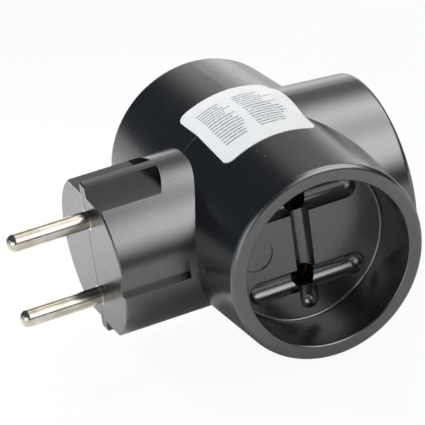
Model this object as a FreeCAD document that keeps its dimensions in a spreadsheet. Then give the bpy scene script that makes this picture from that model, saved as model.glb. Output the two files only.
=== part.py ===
import FreeCAD, Part
import math
import os
import re
import Sketcher
from FreeCAD import Placement, Rotation, Vector

# Driving sizes in millimetres
# Frame: +X runs from the pins to the end outlet, the side outlets face -Y and +Y, and +Z is up.
# The origin is the centre of the pin face, which bears on the wall socket.
# The pieces are drawn about the crossing of the outlets' axes and moved along X by the plug's reach.
SIZES = {
    "body_radius": 24.9,
    "rim_radius": 22.8,
    "side_reach": 34.7,
    "end_reach": 27.9,
    "rim_rounding": 1.3,
    "mouth_radius": 19.3,
    "mouth_rounding": 0.5,
    "recess_depth": 13.3,
    "recess_corner": 0.6,
    "face_thickness": 4.4,
    "wall": 2.4,
    "plug_radius": 18.2,
    "plug_reach": 41.2,
    "plug_edge": 0.4,
    "plug_block": 7.8,
    "rib_width": 3.1,
    "notch_floor": 15.45,
    "notch_length": 17.2,
    "notch_end_radius": 19.0,
    "slot_width": 4.4,
    "slot_floor": 16.3,
    "slot_length": 15.6,
    "pin_pitch": 19.0,
    "pin_diameter": 4.0,
    "pin_length": 19.0,
    "root_radius": 2.3,
    "collar_radius": 3.2,
    "collar_length": 2.0,
    "collar_depth": 2.8,
    "spigot_radius": 1.4,
    "pin_head_radius": 2.2,
    "pin_head_length": 0.8,
    "hole_radius": 2.85,
    "channel_width": 5.4,
    "channel_reach": 14.1,
    "upright_width": 4.4,
    "upright_reach": 17.0,
    "mark_radius": 4.0,
    "mark_place": 11.3,
    "mark_depth": 0.3,
    "insert_flange": 0.7,
    "key_width": 3.0,
    "key_height": 1.0,
    "seat_gap": 0.05,
    "barrier": 1.6,
    "rest_width": 4.0,
    "rest_length": 2.0,
    "peg_radius": 0.9,
    "peg_length": 2.5,
    "peg_place": 20.5,
    "tip_flat": 0.06,
    "sheet_metal": 0.7,
    "bus_width": 5.2,
    "bus_tab_width": 8.0,
    "sleeve_length": 7.0,
    "sleeve_gap": 1.6,
    "sleeve_back": 1.0,
    "tail_length": 4.0,
    "foot_sink": 0.2,
    "spring_band": 0.4,
    "spring_width": 2.0,
    "spring_place": 1.5,
    "spring_opening": 2.0,
    "rivet_radius": 0.8,
    "rivet_head_radius": 1.5,
    "rivet_head": 0.35,
    "label_front": 15.6,
    "label_back": 11.2,
    "label_left": 13.0,
    "label_right": 9.1,
    "label_corner": 2.0,
    "label_film": 0.15,
}

# Places that follow from the driving sizes
SIDE_FLOOR = "(side_reach - recess_depth)"
SIDE_BACK = "(side_reach - recess_depth - face_thickness)"
END_FLOOR = "(end_reach - recess_depth)"
END_BACK = "(end_reach - recess_depth - face_thickness)"
CAVITY_RADIUS = "(body_radius - (body_radius - rim_radius) * " + SIDE_BACK + " / side_reach - wall)"
CAVITY_CHORD = "(" + END_BACK + " - barrier)"
END_CAVITY_RADIUS = "(mouth_radius - insert_flange)"
INSERT_RADIUS = "(mouth_radius + insert_flange)"
PLUG_CAVITY_RADIUS = "(notch_floor - wall)"
BLOCK_BACK = "(plug_reach - plug_block)"
PIN_RADIUS = "(pin_diameter / 2)"
SLEEVE_OUTSIDE = "(pin_diameter / 2 + sheet_metal)"
PIN_HEIGHT = "(pin_pitch / 2)"
BUS_TOP = "(pin_pitch / 2 - pin_diameter / 2 - 2 * sheet_metal + foot_sink)"
BUS_UNDERSIDE = "(pin_pitch / 2 - pin_diameter / 2 - 3 * sheet_metal + foot_sink)"
NOTCH_EDGE = "((plug_radius ^ 2 - notch_floor ^ 2) ^ 0.5 + seat_gap)"
BEYOND = 2.0

os.makedirs("parts", exist_ok=True)
document = FreeCAD.newDocument("three_outlet_adapter")
sheet = document.addObject("Spreadsheet::Sheet", "sizes")
for row, (size_name, size_value) in enumerate(SIZES.items(), start=1):
    sheet.set(f"A{row}", size_name)
    sheet.set(f"B{row}", str(size_value))
    sheet.setAlias(f"B{row}", size_name)
document.recompute()


def sized(text):
    """Turn the names of sizes in an expression into references to the sheet."""
    return re.sub(r"[a-z][a-z_]+", lambda found: "sizes." + found.group(0), str(text))


def number(text):
    """The present value of an expression of sizes."""
    return float(sheet.evalExpression(sized(text)))


class Drawing:
    """A sketch on one of a body's origin planes, with every size bound to the sheet."""

    def __init__(self, body, plane, across="0", up="0", forward="0", spin=0):
        self.body = body
        self.sketch = body.newObject("Sketcher::SketchObject", body.Name + "_sketch")
        origin_plane = next(item for item in body.Origin.OriginFeatures if item.Role == plane)
        self.sketch.AttachmentSupport = (origin_plane, [""])
        self.sketch.MapMode = "FlatFace"
        self.sketch.AttachmentOffset = Placement(Vector(0, 0, 0), Rotation(Vector(0, 0, 1), spin))
        for direction, value in (("x", across), ("y", up), ("z", forward)):
            self.sketch.setExpression(".AttachmentOffset.Base." + direction, sized(value))

    def bind(self, *parts, value):
        index = self.sketch.addConstraint(Sketcher.Constraint(*parts, number(value)))
        self.sketch.setExpression(f"Constraints[{index}]", sized(value))

    def pin_point(self, shape, end, across, up):
        """Hold one point of a shape at a place given by two expressions."""
        if across == "0":
            self.sketch.addConstraint(Sketcher.Constraint("PointOnObject", shape, end, -2))
        else:
            self.bind("DistanceX", -1, 1, shape, end, value=across)
        if up == "0":
            self.sketch.addConstraint(Sketcher.Constraint("PointOnObject", shape, end, -1))
        else:
            self.bind("DistanceY", -1, 1, shape, end, value=up)

    def outline(self, points):
        """A closed outline of straight lines through the given places."""
        places = [Vector(number(across), number(up), 0) for across, up in points]
        first = self.sketch.GeometryCount
        for start, end in zip(places, places[1:] + places[:1]):
            self.sketch.addGeometry(Part.LineSegment(start, end), False)
        for step, (across, up) in enumerate(points):
            following = (step + 1) % len(points)
            joined = Sketcher.Constraint("Coincident", first + step, 2, first + following, 1)
            self.sketch.addConstraint(joined)
            self.pin_point(first + step, 1, across, up)
        return self

    def rectangle(self, left, right, low, high):
        return self.outline([(left, low), (right, low), (right, high), (left, high)])

    def circle(self, across, up, radius):
        centre = Vector(number(across), number(up), 0)
        shape = self.sketch.addGeometry(Part.Circle(centre, Vector(0, 0, 1), number(radius)), False)
        self.pin_point(shape, 3, across, up)
        self.bind("Radius", shape, value=radius)
        return self

    def half_stadium(self, reach, radius):
        """The upper half of a slot with round ends, centred on the sketch's origin."""
        centre = number(reach) - number(radius)
        normal = Vector(0, 0, 1)
        quarter = math.pi / 2
        right_round = Part.Circle(Vector(centre, 0, 0), normal, number(radius))
        left_round = Part.Circle(Vector(-centre, 0, 0), normal, number(radius))
        shapes = [
            Part.ArcOfCircle(right_round, 0, quarter),
            Part.LineSegment(Vector(centre, number(radius), 0), Vector(-centre, number(radius), 0)),
            Part.ArcOfCircle(left_round, quarter, 2 * quarter),
            Part.LineSegment(Vector(-number(reach), 0, 0), Vector(number(reach), 0, 0)),
        ]
        right, top, left, base = [self.sketch.addGeometry(shape, False) for shape in shapes]
        for constraint in (
            Sketcher.Constraint("Coincident", right, 2, top, 1),
            Sketcher.Constraint("Coincident", top, 2, left, 1),
            Sketcher.Constraint("Coincident", left, 2, base, 1),
            Sketcher.Constraint("Coincident", base, 2, right, 1),
            Sketcher.Constraint("Vertical", right, 3, right, 2),
            Sketcher.Constraint("Vertical", left, 3, left, 1),
            Sketcher.Constraint("Horizontal", base),
            Sketcher.Constraint("Equal", right, left),
        ):
            self.sketch.addConstraint(constraint)
        self.pin_point(right, 3, f"({reach} - {radius})", "0")
        self.pin_point(left, 3, f"-({reach} - {radius})", "0")
        self.bind("Radius", right, value=radius)
        return self

    def chord(self, radius, reach):
        """A circle about the origin whose +X side is cut off by a straight chord."""
        angle = math.acos(number(reach) / number(radius))
        ring = Part.Circle(Vector(0, 0, 0), Vector(0, 0, 1), number(radius))
        bend = self.sketch.addGeometry(Part.ArcOfCircle(ring, angle, 2 * math.pi - angle), False)
        ends = [self.sketch.Geometry[bend].EndPoint, self.sketch.Geometry[bend].StartPoint]
        straight = self.sketch.addGeometry(Part.LineSegment(*ends), False)
        for constraint in (
            Sketcher.Constraint("Coincident", bend, 3, -1, 1),
            Sketcher.Constraint("Coincident", bend, 2, straight, 1),
            Sketcher.Constraint("Coincident", straight, 2, bend, 1),
            Sketcher.Constraint("Vertical", straight),
        ):
            self.sketch.addConstraint(constraint)
        self.bind("Radius", bend, value=radius)
        self.bind("DistanceX", -1, 1, straight, 1, value=reach)
        return self

    def extrude(self, kind, length, along):
        """Pad or pocket the sketch with its normal (along is 1) or against it (-1)."""
        before = volume(self.body)
        feature = self.body.newObject("PartDesign::" + kind, self.body.Name + "_" + kind.lower())
        feature.Profile = self.sketch
        feature.setExpression("Length", sized(length))
        feature.Reversed = (along < 0) if kind == "Pad" else (along > 0)
        return finish(self.body, feature, before, kind == "Pad")

    def pad(self, length, along=1):
        return self.extrude("Pad", length, along)

    def pocket(self, length, along=-1):
        return self.extrude("Pocket", length, along)

    def turn(self, kind, axis="H_Axis", angle=360):
        """Revolve the sketch about one of its own axes, evenly to both sides if not all round."""
        before = volume(self.body)
        feature = self.body.newObject("PartDesign::" + kind, self.body.Name + "_" + kind.lower())
        feature.Profile = self.sketch
        feature.ReferenceAxis = (self.sketch, [axis])
        feature.Angle = angle
        feature.Midplane = angle < 360
        return finish(self.body, feature, before, kind == "Revolution")


def volume(body):
    return 0.0 if body.Shape.isNull() else body.Shape.Volume


def finish(body, feature, before, adds):
    """Work the feature out, and make sure that it really added or removed material."""
    body.Tip = feature
    document.recompute()
    change = volume(body) - before
    if (change <= 0) if adds else (change >= 0):
        raise RuntimeError(f"{feature.Name} changed the volume by {change:.3f}")
    return feature


def new_body(label, turn=Rotation(), along="0", across="0", up="0"):
    """A body turned about the crossing of the outlets' axes, and then moved from it."""
    body = document.addObject("PartDesign::Body", label)
    body.Label = label
    body.Placement = Placement(Vector(0, 0, 0), turn)
    body.setExpression(".Placement.Base.x", sized(f"plug_reach + {along}"))
    body.setExpression(".Placement.Base.y", sized(across))
    body.setExpression(".Placement.Base.z", sized(up))
    document.recompute()
    return body


def pole_turn(level):
    """The lower pole's pieces are the upper pole's turned upside down about X."""
    return Rotation(Vector(1, 0, 0), 0 if level > 0 else 180)


def round_edges(body, radius, wanted):
    """Fillet each edge of the body that the test wanted accepts."""
    base = body.Tip
    names = [f"Edge{place}" for place, edge in enumerate(base.Shape.Edges, start=1) if wanted(edge)]
    fillet = body.newObject("PartDesign::Fillet", body.Name + "_fillet")
    fillet.Base = (base, names)
    fillet.setExpression("Radius", sized(radius))
    body.Tip = fillet
    document.recompute()
    return fillet


def is_ring(edge, radius, centre):
    """Whether an edge is part of a circle of this radius about this centre."""
    if edge.Degenerated:
        return False
    curve = edge.Curve
    return (
        curve.TypeId == "Part::GeomCircle"
        and abs(curve.Radius - number(radius)) < 0.01
        and curve.Center.distanceToPoint(centre) < 0.01
    )


def socket_channels(body, plane, forward, along):
    """The half-round channels of a socket face, which guide the pins, and its two pin holes."""
    for sign in ("", "-"):
        channel = Drawing(body, plane, up=sign + PIN_HEIGHT, forward=forward)
        channel.half_stadium("channel_reach", "(channel_width / 2)").turn("Groove")
    upright = Drawing(body, plane, forward=forward, spin=90)
    upright.half_stadium("upright_reach", "(upright_width / 2)").turn("Groove")
    for sign in ("", "-"):
        hole = Drawing(body, plane, forward=forward).circle("0", sign + PIN_HEIGHT, "hole_radius")
        hole.pocket("face_thickness + seat_gap", along)


def housing_half(label, side):
    """One moulded half of the housing; side is -1 for the front half and 1 for the rear half."""
    body = new_body(label)
    sign = "-" if side < 0 else ""
    inward = side
    outward = -side

    # Solid form: the side outlet, and half each of the end outlet and the plug
    Drawing(body, "YZ_Plane").outline([
        ("0", "0"),
        ("0", "body_radius"),
        (sign + "side_reach", "rim_radius"),
        (sign + "side_reach", "0"),
    ]).turn("Revolution")
    Drawing(body, "XY_Plane").outline([
        ("0", "0"),
        ("0", sign + "body_radius"),
        ("end_reach", sign + "rim_radius"),
        ("end_reach", "0"),
    ]).turn("Revolution", angle=180)
    Drawing(body, "XY_Plane").rectangle("-plug_reach", "0", "0", sign + "plug_radius").turn(
        "Revolution", angle=180
    )

    # Guide notches above and below, on either side of the seam's rib
    for level in (1, -1):
        height = "notch_floor" if level > 0 else "-notch_floor"
        notch = Drawing(body, "XY_Plane", forward=height)
        end_centre = "(notch_length - plug_reach - notch_end_radius)"
        notch_outline(notch, sign, end_centre)
        notch.pocket("plug_radius - notch_floor + seat_gap", level)

    # Clip slot at the side of the plug
    slot = Drawing(body, "XZ_Plane", forward="-" + sign + "slot_floor" if side > 0 else "slot_floor")
    slot.rectangle(f"-plug_reach - {BEYOND}", "slot_length - plug_reach", "-slot_width / 2", "slot_width / 2")
    slot.pocket("plug_radius", outward)

    # Hollow for the contacts
    hollow = Drawing(body, "XZ_Plane").chord(CAVITY_RADIUS, CAVITY_CHORD)
    hollow.pocket(SIDE_BACK, outward)
    Drawing(body, "XY_Plane").rectangle("0", END_BACK, "0", sign + END_CAVITY_RADIUS).turn(
        "Groove", angle=180
    )
    Drawing(body, "XY_Plane").rectangle("-" + BLOCK_BACK, "0", "0", sign + PLUG_CAVITY_RADIUS).turn(
        "Groove", angle=180
    )

    # Barrier between the two poles, and rests for the bus bars
    barrier_low = "(plug_reach - slot_length - barrier)"
    Drawing(body, "XZ_Plane").rectangle(
        "-" + barrier_low, CAVITY_CHORD, "-barrier / 2", "barrier / 2"
    ).pad(SIDE_BACK, outward)
    Drawing(body, "XZ_Plane").rectangle(
        "-" + BLOCK_BACK, "-" + barrier_low, "-barrier / 2", "barrier / 2"
    ).pad(PLUG_CAVITY_RADIUS, outward)
    for level in ("", "-"):
        rest = Drawing(body, "XZ_Plane", forward=f"{'-' if side > 0 else ''}({SIDE_BACK} - 2 * rest_length)")
        rest.rectangle("-rest_width / 2", "rest_width / 2", "0", f"{level}({BUS_UNDERSIDE} - seat_gap)")
        rest.pad("rest_length", outward)

    # Outlet recesses
    Drawing(body, "YZ_Plane").rectangle(
        sign + SIDE_FLOOR, sign + f"(side_reach + {BEYOND})", "0", "mouth_radius"
    ).turn("Groove")
    Drawing(body, "XY_Plane").rectangle(END_BACK, END_FLOOR, "0", sign + f"({INSERT_RADIUS} + seat_gap)").turn(
        "Groove", angle=180
    )
    Drawing(body, "XY_Plane").rectangle(
        END_FLOOR, f"end_reach + {BEYOND}", "0", sign + "mouth_radius"
    ).turn("Groove", angle=180)
    key = Drawing(body, "YZ_Plane", forward=END_BACK)
    key.rectangle("0", sign + "(key_width / 2 + seat_gap)", "0", f"{INSERT_RADIUS} + key_height + seat_gap")
    key.pocket("face_thickness", 1)

    # Pin seats in the face block
    for level in ("", "-"):
        seat = Drawing(body, "XZ_Plane", up=level + PIN_HEIGHT)
        seat.outline(pin_seat_outline()).turn("Groove")

    # Socket face of the side outlet, with the round mark beside its upright channel
    forward = SIDE_FLOOR if side < 0 else "-" + SIDE_FLOOR
    socket_channels(body, "XZ_Plane", forward, inward)
    mark = Drawing(body, "XZ_Plane", forward=forward).circle("-mark_place", "0", "mark_radius")
    mark.pocket("mark_depth", inward)

    # Pegs on the front half, and their holes in the rear half
    for across, up in peg_places():
        peg = Drawing(body, "XZ_Plane")
        if side < 0:
            peg.circle(across, up, "peg_radius").pad("peg_length", -1)
        else:
            peg.circle(across, up, "peg_radius + seat_gap").pocket("peg_length + seat_gap", -1)

    # Rounded edges of the rims, mouths, recess and pin face
    face_centre = Vector(0, side * number("side_reach"), 0)
    end_centre = Vector(number("end_reach"), 0, 0)
    plug_centre = Vector(-number("plug_reach"), 0, 0)
    floor_centre = Vector(0, side * number(SIDE_FLOOR), 0)
    round_edges(
        body,
        "rim_rounding",
        lambda edge: is_ring(edge, "rim_radius", face_centre) or is_ring(edge, "rim_radius", end_centre),
    )
    round_edges(
        body,
        "mouth_rounding",
        lambda edge: is_ring(edge, "mouth_radius", face_centre) or is_ring(edge, "mouth_radius", end_centre),
    )
    round_edges(body, "recess_corner", lambda edge: is_ring(edge, "mouth_radius", floor_centre))
    round_edges(body, "plug_edge", lambda edge: is_ring(edge, "plug_radius", plug_centre))
    return body


def notch_outline(drawing, sign, end_centre):
    """A notch beside the rib, open at the pin face and ended by an arc about the plug's axis."""
    radius = number("notch_end_radius")
    centre = Vector(number(end_centre), 0, 0)
    near = number(sign + "rib_width / 2")
    far = number(sign + NOTCH_EDGE)
    open_end = -number("plug_reach") - BEYOND
    near_end = centre.x + (radius**2 - near**2) ** 0.5
    far_end = centre.x + (radius**2 - far**2) ** 0.5
    sketch = drawing.sketch
    circle = Part.Circle(centre, Vector(0, 0, 1), radius)
    angles = [circle.parameter(Vector(near_end, near, 0)), circle.parameter(Vector(far_end, far, 0))]
    angles = [angle - 2 * math.pi if angle > math.pi else angle for angle in angles]
    bend = sketch.addGeometry(Part.ArcOfCircle(circle, min(angles), max(angles)), False)
    near_point, far_point = (1, 2) if angles[0] < angles[1] else (2, 1)
    near_line = sketch.addGeometry(Part.LineSegment(Vector(open_end, near, 0), Vector(near_end, near, 0)), False)
    far_line = sketch.addGeometry(Part.LineSegment(Vector(open_end, far, 0), Vector(far_end, far, 0)), False)
    mouth = sketch.addGeometry(Part.LineSegment(Vector(open_end, near, 0), Vector(open_end, far, 0)), False)
    for constraint in (
        Sketcher.Constraint("Coincident", near_line, 2, bend, near_point),
        Sketcher.Constraint("Coincident", far_line, 2, bend, far_point),
        Sketcher.Constraint("Coincident", mouth, 1, near_line, 1),
        Sketcher.Constraint("Coincident", mouth, 2, far_line, 1),
        Sketcher.Constraint("Horizontal", near_line),
        Sketcher.Constraint("Horizontal", far_line),
        Sketcher.Constraint("Vertical", mouth),
    ):
        sketch.addConstraint(constraint)
    drawing.pin_point(bend, 3, end_centre, "0")
    drawing.bind("Radius", bend, value="notch_end_radius")
    drawing.bind("DistanceY", -1, 1, near_line, 1, value=sign + "rib_width / 2")
    drawing.bind("DistanceY", -1, 1, far_line, 1, value=sign + NOTCH_EDGE)
    drawing.bind("DistanceX", -1, 1, mouth, 1, value=f"-plug_reach - {BEYOND}")


def pin_seat_outline():
    """The pocket of one pin in the face block, as a half section above the pin's axis."""
    root = "root_radius + seat_gap"
    shank = f"{PIN_RADIUS} + seat_gap"
    collar = "collar_radius + seat_gap"
    collar_front = "-(plug_reach - collar_depth + seat_gap)"
    collar_back = "-(plug_reach - collar_depth - collar_length - seat_gap)"
    return [
        (f"-plug_reach - {BEYOND}", "0"),
        (f"-plug_reach - {BEYOND}", root),
        (collar_front, root),
        (collar_front, collar),
        (collar_back, collar),
        (collar_back, shank),
        (f"-{BLOCK_BACK} + seat_gap", shank),
        (f"-{BLOCK_BACK} + seat_gap", "0"),
    ]


def peg_places():
    """Centres of the locating pegs on the seam: one in the face block, two in the end outlet's wall."""
    wall_middle = "(mouth_radius + rim_radius) / 2"
    return [
        ("-plug_reach + plug_block / 2", "0"),
        ("peg_place", wall_middle),
        ("peg_place", "-" + wall_middle),
    ]


def plug_pin(label, level):
    """A turned pin: round tip, shank, root and collar in the housing, and a spigot headed over the bus bar."""
    body = new_body(label, up=("" if level > 0 else "-") + PIN_HEIGHT)
    tip_centre = "-(plug_reach + pin_length - pin_diameter / 2)"
    collar_front = "-(plug_reach - collar_depth)"
    collar_back = "-(plug_reach - collar_depth - collar_length)"
    shoulder = "-" + BLOCK_BACK
    head_front = f"-({BLOCK_BACK} - sheet_metal)"
    head_back = f"-({BLOCK_BACK} - sheet_metal - pin_head_length)"
    Drawing(body, "XZ_Plane").outline([
        (tip_centre, "0"),
        (tip_centre, PIN_RADIUS),
        ("-plug_reach", PIN_RADIUS),
        ("-plug_reach", "root_radius"),
        (collar_front, "root_radius"),
        (collar_front, "collar_radius"),
        (collar_back, "collar_radius"),
        (collar_back, PIN_RADIUS),
        (shoulder, PIN_RADIUS),
        (shoulder, "spigot_radius"),
        (head_front, "spigot_radius"),
        (head_front, "pin_head_radius"),
        (head_back, "pin_head_radius"),
        (head_back, "0"),
    ]).turn("Revolution")
    tip = Drawing(body, "YZ_Plane", forward=tip_centre).circle("0", "0", PIN_RADIUS)
    tip.pad(PIN_RADIUS, -1)
    end_centre = Vector(-number("plug_reach + pin_length"), 0, 0)
    round_edges(body, f"{PIN_RADIUS} - tip_flat", lambda edge: is_ring(edge, PIN_RADIUS, end_centre))
    return body


def bus_bar(label, level):
    """A stamped strip in the shape of a cross, with a tab turned up for the pin's spigot."""
    body = new_body(label, pole_turn(level))
    half = "bus_width / 2"
    front = "-" + BLOCK_BACK
    end = "(" + END_BACK + " - sleeve_back)"
    side = "(" + SIDE_BACK + " - sleeve_back)"
    Drawing(body, "XY_Plane", forward=BUS_UNDERSIDE).outline([
        (front, "-" + half),
        ("-" + half, "-" + half),
        ("-" + half, "-" + side),
        (half, "-" + side),
        (half, "-" + half),
        (end, "-" + half),
        (end, half),
        (half, half),
        (half, side),
        ("-" + half, side),
        ("-" + half, half),
        (front, half),
    ]).pad("sheet_metal")
    tab = Drawing(body, "YZ_Plane", forward=front)
    tab.rectangle(
        "-bus_tab_width / 2", "bus_tab_width / 2", BUS_UNDERSIDE, f"{PIN_HEIGHT} + pin_head_radius + sheet_metal"
    )
    tab.pad("sheet_metal")
    Drawing(body, "YZ_Plane", forward=front).circle("0", PIN_HEIGHT, "spigot_radius").pocket("sheet_metal", 1)
    for across, up in rivet_places():
        hole = Drawing(body, "XY_Plane", forward=BUS_UNDERSIDE).circle(across, up, "rivet_radius")
        hole.pocket("sheet_metal", 1)
    return body


def rivet_places():
    """Where the tails of the front, rear and end clips are riveted to a bus bar."""
    middle = "(sleeve_back + sleeve_length + tail_length / 2)"
    return [
        ("0", f"-({SIDE_BACK} - {middle})"),
        ("0", f"({SIDE_BACK} - {middle})"),
        (f"({END_BACK} - {middle})", "0"),
    ]


def contact_body(label, outlet, level):
    """A body drawn along +X from an outlet's face inwards, at its own outlet and pole."""
    turns = {"front": 90, "rear": -90, "end": 180}
    places = {
        "front": {"across": f"-({SIDE_BACK} - sleeve_back)"},
        "rear": {"across": f"({SIDE_BACK} - sleeve_back)"},
        "end": {"along": f"({END_BACK} - sleeve_back)"},
    }
    turn = Rotation(Vector(0, 0, 1), turns[outlet]) * pole_turn(level)
    return new_body(label, turn, up=("" if level > 0 else "-") + PIN_HEIGHT, **places[outlet])


def contact_clip(label, outlet, level):
    """A contact rolled from strip: a split sleeve for the pin, on a foot with a riveted tail."""
    body = contact_body(label, outlet, level)
    Drawing(body, "YZ_Plane").circle("0", "0", SLEEVE_OUTSIDE).pad("sleeve_length")
    Drawing(body, "YZ_Plane").circle("0", "0", PIN_RADIUS).pocket("sleeve_length", 1)
    Drawing(body, "YZ_Plane").rectangle(
        "-sleeve_gap / 2", "sleeve_gap / 2", "0", f"{SLEEVE_OUTSIDE} + {BEYOND}"
    ).pocket("sleeve_length", 1)
    foot_low = f"({BUS_TOP} - {PIN_HEIGHT})"
    foot_high = f"({BUS_TOP} - {PIN_HEIGHT} + sheet_metal)"
    Drawing(body, "YZ_Plane").rectangle("-bus_width / 2", "bus_width / 2", foot_low, foot_high).pad(
        "sleeve_length + tail_length"
    )
    hole = Drawing(body, "XY_Plane", forward=foot_low)
    hole.circle("sleeve_length + tail_length / 2", "0", "rivet_radius").pocket("sheet_metal", 1)
    return body


def clip_spring(label, outlet, level):
    """A steel band sprung round the split sleeve, open towards the sleeve's foot."""
    body = contact_body(label, outlet, level)
    Drawing(body, "YZ_Plane", forward="spring_place").circle(
        "0", "0", f"{SLEEVE_OUTSIDE} + spring_band"
    ).pad("spring_width")
    Drawing(body, "YZ_Plane", forward="spring_place").circle("0", "0", SLEEVE_OUTSIDE).pocket("spring_width", 1)
    Drawing(body, "YZ_Plane", forward="spring_place").rectangle(
        f"-{SLEEVE_OUTSIDE} - {BEYOND}",
        f"{SLEEVE_OUTSIDE} + {BEYOND}",
        f"-{SLEEVE_OUTSIDE} - {BEYOND}",
        "-spring_opening",
    ).pocket("spring_width", 1)
    return body


def contact_rivets(label):
    """The six rivets that hold the clips to the bus bars."""
    rivets = []
    for level, pole in ((1, "upper"), (-1, "lower")):
        for outlet, (across, up) in zip(("front", "rear", "end"), rivet_places()):
            body = new_body(f"rivet_{outlet}_{pole}", pole_turn(level), across, up)
            length = "2 * sheet_metal"
            Drawing(body, "XZ_Plane", up=BUS_UNDERSIDE).outline([
                ("0", "-rivet_head"),
                ("rivet_head_radius", "-rivet_head"),
                ("rivet_head_radius", "0"),
                ("rivet_radius", "0"),
                ("rivet_radius", length),
                ("rivet_head_radius", length),
                ("rivet_head_radius", length + " + rivet_head"),
                ("0", length + " + rivet_head"),
            ]).turn("Revolution", axis="V_Axis")
            rivets.append(body)
    group = document.addObject("Part::Compound", label)
    group.Label = label
    group.Links = rivets
    return group


def end_insert(label):
    """The socket face of the end outlet, a moulded disc clamped between the two halves and keyed."""
    body = new_body(label)
    Drawing(body, "YZ_Plane", forward=END_BACK).circle("0", "0", INSERT_RADIUS).pad("face_thickness")
    key = Drawing(body, "YZ_Plane", forward=END_BACK)
    key.rectangle("-key_width / 2", "key_width / 2", "0", f"{INSERT_RADIUS} + key_height")
    key.pad("face_thickness")
    socket_channels(body, "YZ_Plane", END_FLOOR, -1)
    return body


def tapered_outlet(name, radius_gain, reach, direction):
    """A tapered solid from the crossing to an outlet's rim, thicker by radius_gain."""
    cone = document.addObject("Part::Cone", name)
    cone.setExpression("Radius1", sized(f"body_radius + {radius_gain}"))
    cone.setExpression("Radius2", sized(f"rim_radius + {radius_gain}"))
    cone.setExpression("Height", sized(reach))
    cone.Placement = Placement(Vector(0, 0, 0), Rotation(Vector(0, 0, 1), direction))
    return cone


def outlet_forms(name, radius_gain):
    forms = document.addObject("Part::MultiFuse", name)
    forms.Shapes = [
        tapered_outlet(name + "_front", radius_gain, "side_reach", Vector(0, -1, 0)),
        tapered_outlet(name + "_rear", radius_gain, "side_reach", Vector(0, 1, 0)),
        tapered_outlet(name + "_end", radius_gain, "end_reach", Vector(1, 0, 0)),
    ]
    return forms


def rating_label(label):
    """A thin film with round corners, laid over the top of the crossing."""
    sheet_block = document.addObject("Part::Box", "label_block")
    sheet_block.setExpression("Length", sized("label_left + label_right"))
    sheet_block.setExpression("Width", sized("label_front + label_back"))
    sheet_block.setExpression("Height", sized("2 * body_radius"))
    sheet_block.setExpression(".Placement.Base.x", sized("-label_left"))
    sheet_block.setExpression(".Placement.Base.y", sized("-label_front"))
    document.recompute()
    rounded = document.addObject("Part::Fillet", "label_rounded")
    rounded.Base = sheet_block
    corner = number("label_corner")
    rounded.Edges = [
        (place, corner, corner)
        for place, edge in enumerate(sheet_block.Shape.Edges, start=1)
        if abs(edge.tangentAt(edge.FirstParameter).z) > 0.99
    ]
    film = document.addObject("Part::Common", "label_film_block")
    film.Base = rounded
    film.Tool = outlet_forms("label_outside", "label_film")
    cut = document.addObject("Part::Cut", label)
    cut.Base = film
    cut.Tool = outlet_forms("label_inside", "0")
    cut.Label = label
    cut.setExpression(".Placement.Base.x", sized("plug_reach"))
    return cut


nodes = [housing_half("housing_front", -1), housing_half("housing_rear", 1), end_insert("end_socket_face")]
for pole_level, pole_name in ((1, "upper"), (-1, "lower")):
    nodes.append(plug_pin("plug_pin_" + pole_name, pole_level))
    nodes.append(bus_bar("bus_bar_" + pole_name, pole_level))
    for outlet_name in ("front", "rear", "end"):
        nodes.append(contact_clip(f"clip_{outlet_name}_{pole_name}", outlet_name, pole_level))
        nodes.append(clip_spring(f"spring_{outlet_name}_{pole_name}", outlet_name, pole_level))
nodes.append(contact_rivets("contact_rivets"))
nodes.append(rating_label("rating_label"))
document.recompute()

for item in document.Objects:
    if "Invalid" in item.State or "Error" in item.State:
        raise RuntimeError(f"{item.Name} failed: {item.State}")
for node in nodes:
    if node.Shape.isNull() or not node.Shape.isValid():
        raise RuntimeError(f"{node.Label} has no valid shape")
    node.Shape.exportStep(f"parts/{node.Label}.step")
    print(f"{node.Label}: {len(node.Shape.Solids)} solid(s), {node.Shape.Volume:.1f} mm3")
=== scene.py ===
import math

import bpy
from mathutils import Matrix, Vector


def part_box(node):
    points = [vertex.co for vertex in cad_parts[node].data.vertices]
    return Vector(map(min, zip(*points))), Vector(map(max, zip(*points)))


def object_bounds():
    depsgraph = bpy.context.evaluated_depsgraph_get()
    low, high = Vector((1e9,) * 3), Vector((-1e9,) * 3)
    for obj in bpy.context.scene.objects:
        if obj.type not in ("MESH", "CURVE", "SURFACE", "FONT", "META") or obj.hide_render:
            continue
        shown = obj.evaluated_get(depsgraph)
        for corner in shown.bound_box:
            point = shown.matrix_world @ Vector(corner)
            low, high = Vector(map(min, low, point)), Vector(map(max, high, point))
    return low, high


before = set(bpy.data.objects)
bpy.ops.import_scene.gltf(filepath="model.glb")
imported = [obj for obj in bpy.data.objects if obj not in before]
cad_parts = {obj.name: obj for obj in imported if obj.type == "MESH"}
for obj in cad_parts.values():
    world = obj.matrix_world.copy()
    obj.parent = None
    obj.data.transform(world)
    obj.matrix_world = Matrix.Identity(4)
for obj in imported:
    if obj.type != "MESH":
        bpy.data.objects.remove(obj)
cad_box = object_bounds()
scene = bpy.context.scene
scene.view_settings.view_transform = "Standard"

# Camera
# A long lens looks down at the adapter from the front left, a little tipped. CROSSING is the point
# where the axes of the outlets meet, in metres from the centre of the pin face.
CROSSING = Vector((0.0412, 0.0, 0.0))
camera_aim = Vector((0.02924, 0.0, 0.00167))
camera_tip = math.radians(-8.055)
camera = bpy.data.objects.new("camera", bpy.data.cameras.new("camera"))
camera.data.lens = 223.62
camera.data.clip_start = 0.05
camera.location = (-0.15358, -0.49098, 0.27445)
level_view = (camera_aim - camera.location).to_track_quat("-Z", "Y").to_matrix()
camera.rotation_euler = (level_view @ Matrix.Rotation(camera_tip, 3, "Z")).to_euler()
scene.collection.objects.link(camera)
scene.camera = camera


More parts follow.
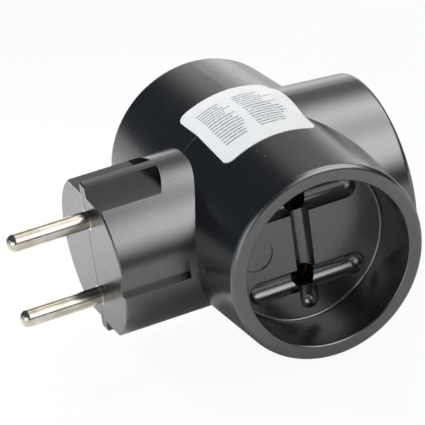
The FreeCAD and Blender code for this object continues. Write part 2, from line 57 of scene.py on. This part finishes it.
# Table
# A wide sheet of white paper that the adapter lies on. The camera sees it nearly white under the adapter's
# soft shadow. In the gloss the paper glows white from a little way off, a painted reflection of lit paper,
# and the glow fades out near the adapter as a painted shadow around it.
class Value:
    """One output of a finish, so that shader maths is written as plain sums."""

    def __init__(self, finish, socket):
        self.finish = finish
        self.socket = socket

    def out(self, name):
        """Another output of the same node."""
        return Value(self.finish, self.socket.node.outputs[name])

    def math(self, operation, *terms):
        return self.finish.node("ShaderNodeMath", {"operation": operation}, dict(enumerate(terms)), "Value")

    def __add__(self, other):
        return self.math("ADD", self, other)

    def __radd__(self, other):
        return self.math("ADD", other, self)

    def __sub__(self, other):
        return self.math("SUBTRACT", self, other)

    def __rsub__(self, other):
        return self.math("SUBTRACT", other, self)

    def __mul__(self, other):
        return self.math("MULTIPLY", self, other)

    def __rmul__(self, other):
        return self.math("MULTIPLY", other, self)

    def __truediv__(self, other):
        return self.math("DIVIDE", self, other)

    def __rtruediv__(self, other):
        return self.math("DIVIDE", other, self)

    def __mod__(self, other):
        return self.math("FLOORED_MODULO", self, other)

    def __gt__(self, other):
        return self.math("GREATER_THAN", self, other)

    def __lt__(self, other):
        return self.math("LESS_THAN", self, other)

    def __abs__(self):
        return self.math("ABSOLUTE", self)

    def __floor__(self):
        return self.math("FLOOR", self)

    def at_least(self, other):
        return self.math("MAXIMUM", self, other)

    def ramp(self, low, high, shape="LINEAR"):
        """0 up to low, 1 from high on, straight between them or in another shape."""
        inputs = {"Value": self, "From Min": low, "From Max": high}
        return self.finish.node("ShaderNodeMapRange", {"interpolation_type": shape}, inputs)

    def rise(self, low, high):
        """0 up to low, 1 from high on, with a soft step between them."""
        return self.ramp(low, high, "SMOOTHSTEP")


class Finish:
    """The nodes of one material, or of the room's light."""

    def __init__(self, owner):
        owner.use_nodes = True
        self.owner = owner
        self.tree = owner.node_tree
        self.tree.nodes.clear()

    def node(self, kind, settings, inputs, output=0):
        """Add a node; its settings come first, then the values or links of its sockets."""
        node = self.tree.nodes.new(kind)
        for name, setting in settings.items():
            setattr(node, name, setting)
        for name, value in inputs.items():
            if isinstance(value, Value):
                self.tree.links.new(value.socket, node.inputs[name])
            else:
                node.inputs[name].default_value = value
        return Value(self, node.outputs[output])

    def end(self, kind, surface):
        """Lead the finished surface to the output."""
        output = self.tree.nodes.new(kind)
        self.tree.links.new(surface.socket, output.inputs["Surface"])
        return self.owner


def grey(level):
    return (level, level, level, 1.0)


def flat_panel(name, corners):
    """A stage piece of one face: the table, or a lamp's silk."""
    mesh = bpy.data.meshes.new(name)
    mesh.from_pydata(corners, [], [(0, 1, 2, 3)])
    panel = bpy.data.objects.new(name, mesh)
    scene.collection.objects.link(panel)
    return panel


table_height = cad_box[0][2]
table_reach = 3.0
paper_grey = 0.62
whiteness_seen = 0.94
painted_glow_in_gloss_level = 0.7
painted_shadow_to = 0.07
painted_glow_full_from = 0.2
corners = [(-1, -1), (1, -1), (1, 1), (-1, 1)]
table = flat_panel("table", [(x * table_reach, y * table_reach, table_height) for x, y in corners])
paper = Finish(bpy.data.materials.new("table_paper"))
camera_ray = paper.node("ShaderNodeLightPath", {}, {}, "Is Camera Ray")
ground = paper.node("ShaderNodeTexCoord", {}, {}, "Object")
inputs = {0: ground, 1: CROSSING}
from_adapter = paper.node("ShaderNodeVectorMath", {"operation": "DISTANCE"}, inputs, "Value")
in_gloss = camera_ray.out("Is Glossy Ray") + camera_ray.out("Is Transmission Ray")
# Painted light: glossy rays see the paper glow, and the glow fades to nothing near the adapter as a painted
# shadow.
painted_glow_in_gloss = in_gloss * from_adapter.rise(painted_shadow_to, painted_glow_full_from) * painted_glow_in_gloss_level
lit_paper = paper.node("ShaderNodeBsdfDiffuse", {}, {"Color": grey(paper_grey)})
white_paper = paper.node("ShaderNodeEmission", {}, {"Color": grey(1.0), "Strength": 1.0})
inputs = {0: camera_ray * whiteness_seen + painted_glow_in_gloss, 1: lit_paper, 2: white_paper}
seen_paper = paper.node("ShaderNodeMixShader", {}, inputs)
table.data.materials.append(paper.end("ShaderNodeOutputMaterial", seen_paper))

# Room
# The room beyond the table: white to the camera, but dim and a little blue to the adapter, and
# brighter at the far left, where the pin tips look.
room_colour = (0.8, 0.93, 1.1, 1.0)
room_level = 0.07
glow_level = 0.4
scene.world = bpy.data.worlds.new("room")
room = Finish(scene.world)
camera_ray = room.node("ShaderNodeLightPath", {}, {}, "Is Camera Ray")
direction = room.node("ShaderNodeTexCoord", {}, {}, "Generated")
leftward = 0 - room.node("ShaderNodeSeparateXYZ", {}, {"Vector": direction}, "X")
dimness = room_level + glow_level * leftward.rise(0.7, 0.85)
dim_room = room.node("ShaderNodeBackground", {}, {"Color": room_colour, "Strength": dimness})
white_room = room.node("ShaderNodeBackground", {}, {"Color": grey(1.0), "Strength": 1.0})
seen_room = room.node("ShaderNodeMixShader", {}, {0: camera_ray, 1: dim_room, 2: white_room})
room.end("ShaderNodeOutputWorld", seen_room)

# Overhead lamp
# Two soft boxes side by side behind one silk, so it is dimmer along a band in the middle, and it
# fades towards its edges. Its places are shares of the height that it hangs at.
lamp_height = 0.5
lamp_radiance = 3.4
left, right, front, back = 0.0, 1.6, -4.0, 0.95
band_middle = -0.22
band_half_width = 0.42
band_dimming = 0.4


def silk_panel(name, corners):
    """A lit silk that shows in the gloss but not to the camera; returns its finish and place."""
    panel = flat_panel(name, corners)
    panel.location = CROSSING
    panel.visible_camera = False
    silk = Finish(bpy.data.materials.new(name))
    panel.data.materials.append(silk.owner)
    place = silk.node("ShaderNodeTexCoord", {}, {}, "Object")
    return silk, silk.node("ShaderNodeSeparateXYZ", {}, {"Vector": place}, "X")


def light_up(silk, pattern, radiance):
    inputs = {"Color": pattern, "Strength": radiance}
    silk.end("ShaderNodeOutputMaterial", silk.node("ShaderNodeEmission", {}, inputs))


corners = [(left, front, 1), (left, back, 1), (right, back, 1), (right, front, 1)]
silk, x = silk_panel("overhead", [Vector(corner) * lamp_height for corner in corners])
x_share = x / lamp_height
y_share = x.out("Y") / lamp_height
nearness = 1 / (0 - y_share).at_least(0.5)
front_fade = nearness.ramp(0.14, 0.78)
back_fade = 1 - 0.8 * y_share.ramp(0.25, 0.75)
in_band = 1 - abs(y_share - band_middle).ramp(0, band_half_width)
light_up(silk, x_share.ramp(0, 0.35) * front_fade * back_fade * (1 - band_dimming * in_band), lamp_radiance)

# Backdrop
# A second lit silk that stands behind the adapter on the right. It is bright near the table and dims
# upwards and towards its left end.
backdrop_y = 1.0
backdrop_radiance = 1.9
left, right, low, high = -0.05, 1.25, -0.02, 0.95
corners = [(left, low), (right, low), (right, high), (left, high)]
silk, x = silk_panel("backdrop", [(x, backdrop_y, z) for x, z in corners])
upward_fade = 1 - 0.8 * x.out("Z").ramp(0.12, 0.45)
light_up(silk, x.ramp(left, 0.2) * upward_fade, backdrop_radiance)

# Left panel
# A rectangular soft box beside the camera on its left, which gives the pin tips and the near edges
# their highlights. Its power follows from its size and from how bright its face is.
panel_width = 0.8
panel_height = 0.6
panel_radiance = 1.3
left_panel = bpy.data.objects.new("left_panel", bpy.data.lights.new("left_panel", "AREA"))
left_panel.data.shape = "RECTANGLE"
left_panel.data.size = panel_width
left_panel.data.size_y = panel_height
left_panel.data.energy = panel_radiance * math.pi * panel_width * panel_height
left_panel.location = CROSSING + Vector((-0.68, -0.58, 0.22))
left_panel.rotation_euler = Vector((0.68, 0.58, -0.15)).to_track_quat("-Z", "Y").to_euler()
left_panel.visible_camera = False
scene.collection.objects.link(left_panel)


# Table spots
# Two spots light the paper behind and in front of the plug, which the pin face and the lower side of
# the plug mirror. The spots themselves show in no gloss.
def table_spot(name, place, aim, angle, power):
    spot = bpy.data.objects.new(name, bpy.data.lights.new(name, "SPOT"))
    spot.data.energy = power
    spot.data.shadow_soft_size = 0.08
    spot.data.spot_size = math.radians(angle)
    spot.data.spot_blend = 1.0
    spot.location = place
    spot.rotation_euler = (Vector(aim) - spot.location).to_track_quat("-Z", "Y").to_euler()
    spot.visible_glossy = False
    scene.collection.objects.link(spot)


table_spot("spot_behind_plug", (-0.18, 0.3, 0.25), (-0.03, 0.07, -0.025), 27, 23.0)
table_spot("spot_before_plug", (-0.25, -0.25, 0.06), (0.0, -0.045, -0.025), 18, 9.0)

# Housing
# Two half shells and the separate face of the end outlet, moulded in black plastic with a fine
# spark-eroded grain. The halves are welded along the plane of the pins, a thin dark line.
MILLIMETRE = 0.001
black_low = (0.0014, 0.0016, 0.0022, 1)
black_high = (0.0026, 0.0029, 0.0038, 1)
plastic_index = 2.3
grain_size = 0.26 * MILLIMETRE
grain_depth = 0.009 * MILLIMETRE
cloud_size = 6 * MILLIMETRE
cloud_depth = 0.02 * MILLIMETRE
handling_size = 18 * MILLIMETRE
scuff_turn = (0.4, 0.9, 0.3)
scuffs_per_metre = (90.0, 1600.0, 700.0)
dust_spacing = 3.5 * MILLIMETRE
dust_height = 0.02 * MILLIMETRE
seam_core = 0.05 * MILLIMETRE
seam_edge = 0.17 * MILLIMETRE
seam_depth = 0.12 * MILLIMETRE


def noise(finish, place, size, detail=2.0):
    """Cloudy variation with spots of about this size, from 0 to 1."""
    inputs = {"Vector": place, "Scale": 1 / size, "Detail": detail, "Roughness": 0.55}
    return finish.node("ShaderNodeTexNoise", {"noise_dimensions": "3D"}, inputs, "Fac")


def mix_colour(finish, share, first, second):
    """The first colour at a share of 0, the second at 1."""
    factor, first_socket, second_socket, result = 0, 6, 7, 2
    inputs = {factor: share, first_socket: first, second_socket: second}
    return finish.node("ShaderNodeMix", {"data_type": "RGBA"}, inputs, result)


def relief(finish, height):
    """A bump whose height is in metres."""
    return finish.node("ShaderNodeBump", {}, {"Height": height, "Strength": 1.0, "Distance": 1.0})


def surface(finish, inputs):
    return finish.end("ShaderNodeOutputMaterial", finish.node("ShaderNodeBsdfPrincipled", {}, inputs))


def moulding(name, seam_shows):
    """Glossy black plastic; grain, handling, scuffs and dust vary its colour, gloss and relief."""
    finish = Finish(bpy.data.materials.new(name))
    place = finish.node("ShaderNodeTexCoord", {}, {}, "Object")
    grain = noise(finish, place, grain_size)
    cloud = noise(finish, place, cloud_size)
    handling = noise(finish, place, handling_size, 3.0)
    inputs = {"Vector": place, "Rotation": scuff_turn, "Scale": scuffs_per_metre}
    along_scuffs = finish.node("ShaderNodeMapping", {}, inputs)
    scuff = noise(finish, along_scuffs, 1.0, 3.0).rise(0.66, 0.74)
    inputs = {"Vector": place, "Scale": 1 / dust_spacing}
    from_speck = finish.node("ShaderNodeTexVoronoi", {}, inputs, "Distance")
    chance = finish.node("ShaderNodeSeparateColor", {}, {"Color": from_speck.out("Color")}, "Red")
    dust = (1 - from_speck.rise(0.025, 0.045)) * (chance > 0.86)
    black = mix_colour(finish, cloud, black_low, black_high)
    roughness = 0.17 + 0.09 * handling + 0.05 * grain + 0.15 * scuff
    height = grain * grain_depth + cloud * cloud_depth + dust * dust_height
    if seam_shows:
        from_seam = abs(finish.node("ShaderNodeSeparateXYZ", {}, {"Vector": place}, "Y"))
        seam = 1 - from_seam.rise(seam_core, seam_edge)
        roughness = roughness + 0.6 * seam
        height = height - seam * seam_depth
    return surface(finish, {
        "Base Color": mix_colour(finish, dust * 0.6, black, grey(0.5)),
        "Roughness": roughness,
        "IOR": plastic_index,
        "Normal": relief(finish, height),
    })


def dress(names, material):
    """Give the solids of the frame this finish."""
    for name in names:
        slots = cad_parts[name].data.materials
        slots.clear()
        slots.append(material)


dress(["housing_front", "housing_rear"], moulding("black_moulding", True))
dress(["end_socket_face"], moulding("black_insert", False))

# Plug pins
# Two turned brass pins with round ends, nickel plated. Plugging in and out has drawn fine lines
# along them, and the plating is a little warm in tone.
line_width = 0.25 * MILLIMETRE
line_depth = 0.002 * MILLIMETRE
tarnish_size = 3 * MILLIMETRE


def metal(name, dark, bright, dullness, drawn=1.0):
    """Bare or plated metal; drawn stretches the marks of making along the X axis."""
    finish = Finish(bpy.data.materials.new(name))
    place = finish.node("ShaderNodeTexCoord", {}, {}, "Object")
    stretched = finish.node("ShaderNodeMapping", {}, {"Vector": place, "Scale": (1 / drawn, 1.0, 1.0)})
    lines = noise(finish, stretched, line_width, 3.0)
    tarnish = noise(finish, place, tarnish_size, 3.0)
    return surface(finish, {
        "Base Color": mix_colour(finish, tarnish.rise(0.3, 0.75), bright, dark),
        "Metallic": 1.0,
        "Roughness": dullness + 0.08 * lines + 0.12 * tarnish,
        "Normal": relief(finish, lines * line_depth),
    })


plating = metal("nickel_plating", (0.6, 0.54, 0.44, 1), (0.78, 0.73, 0.65, 1), 0.1, drawn=12.0)
dress(["plug_pin_upper", "plug_pin_lower"], plating)

# Bus bars, contact sleeves and rivets
# Stamped and rolled from brass strip, which has gone brown in the air inside. Only the mouths of
# the sleeves can be seen, deep behind the pin holes.
levels = ["upper", "lower"]
outlets = ["front", "rear", "end"]
brass = metal("dulled_brass", (0.05, 0.028, 0.01, 1), (0.14, 0.085, 0.035, 1), 0.35)
dress([f"bus_bar_{level}" for level in levels], brass)
dress([f"clip_{outlet}_{level}" for outlet in outlets for level in levels], brass)
dress(["contact_rivets"], brass)

# Springs
# A split band of spring steel, blued in hardening, goes round each contact sleeve and keeps it
# tight on the pin.
blued_steel = metal("blued_steel", (0.08, 0.09, 0.12, 1), (0.24, 0.25, 0.28, 1), 0.25)
dress([f"spring_{outlet}_{level}" for outlet in outlets for level in levels], blued_steel)

# Rating label
# A white plastic film stuck over the top of the crossing. Its print is two columns of thin grey
# rules that run along the adapter, ragged and broken like lines of small print, with no words.
film_low = (0.65, 0.66, 0.67, 1)
film_high = (0.73, 0.73, 0.73, 1)
ink = (0.1, 0.105, 0.12, 1)
rule_pitch = 1.15
rule_width = 0.5
rows_reach = 8.6
left_column_start = -8.5
left_column_end = -1.6
right_column_start = 0.2
right_column_end = 8.5
break_size = 0.5 * MILLIMETRE
wear_size = 4 * MILLIMETRE
wear_depth = 0.015 * MILLIMETRE
film = Finish(bpy.data.materials.new("label_film"))
place = film.node("ShaderNodeTexCoord", {}, {}, "Object")
label_low, label_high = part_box("rating_label")
label_middle = (Vector(label_low) + Vector(label_high)) / 2
x = film.node("ShaderNodeSeparateXYZ", {}, {"Vector": place}, "X")
along = (x - label_middle.x) / MILLIMETRE
across = (x.out("Y") - label_middle.y) / MILLIMETRE
row_number = math.floor(across / rule_pitch)
ragged = film.node("ShaderNodeTexWhiteNoise", {"noise_dimensions": "1D"}, {"W": row_number}, "Value")
on_rule = ((across % rule_pitch) < rule_width) * (abs(across) < rows_reach)
left_column = (along > left_column_start) * (along < left_column_end - 2.2 * ragged)
right_column = (along > right_column_start) * (along < right_column_end - 3.5 * ragged)
unbroken = noise(film, place, break_size, 1.0).rise(0.4, 0.5)
print_mask = on_rule * (left_column + right_column) * (0.45 + 0.55 * unbroken)
wear = noise(film, place, wear_size, 3.0)
dress(["rating_label"], surface(film, {
    "Base Color": mix_colour(film, print_mask * 0.85, mix_colour(film, wear, film_low, film_high), ink),
    "Roughness": 0.3 + 0.15 * wear,
    "IOR": 1.45,
    "Normal": relief(film, wear * wear_depth),
}))
